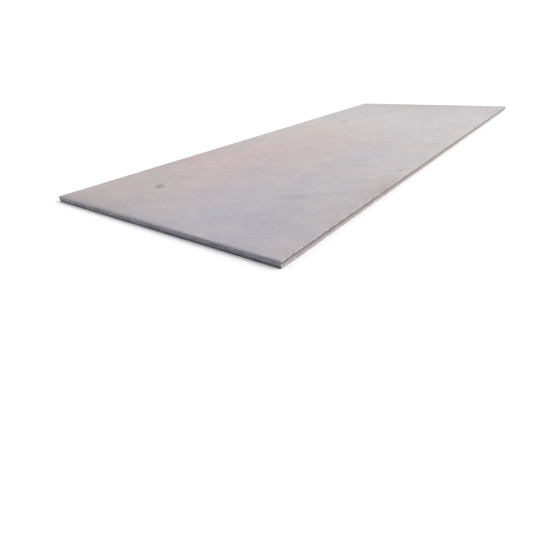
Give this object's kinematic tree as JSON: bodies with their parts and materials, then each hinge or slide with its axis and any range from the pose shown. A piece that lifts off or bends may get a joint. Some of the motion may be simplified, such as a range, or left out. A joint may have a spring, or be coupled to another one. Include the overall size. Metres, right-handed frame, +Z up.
{
  "type": "steel plate",
  "caption": "Flat rectangular hot-rolled steel plate with mill-scale faces and sheared edges, raw stock to be cut, drilled, bent or welded.",
  "frame": {"origin": "middle of the underside, on the floor that the plate lies on", "axes": "+X along the length, +Y across the width, +Z up through the thickness"},
  "size_m": [3.048, 1.219, 0.025],
  "materials": {
    "rolled_steel": "hot-rolled, with dull pale grey mill scale on both faces and bare sheared edges"
  },
  "bodies": {
    "root": {"plate": "rolled_steel"}
  },
  "joints": []
}
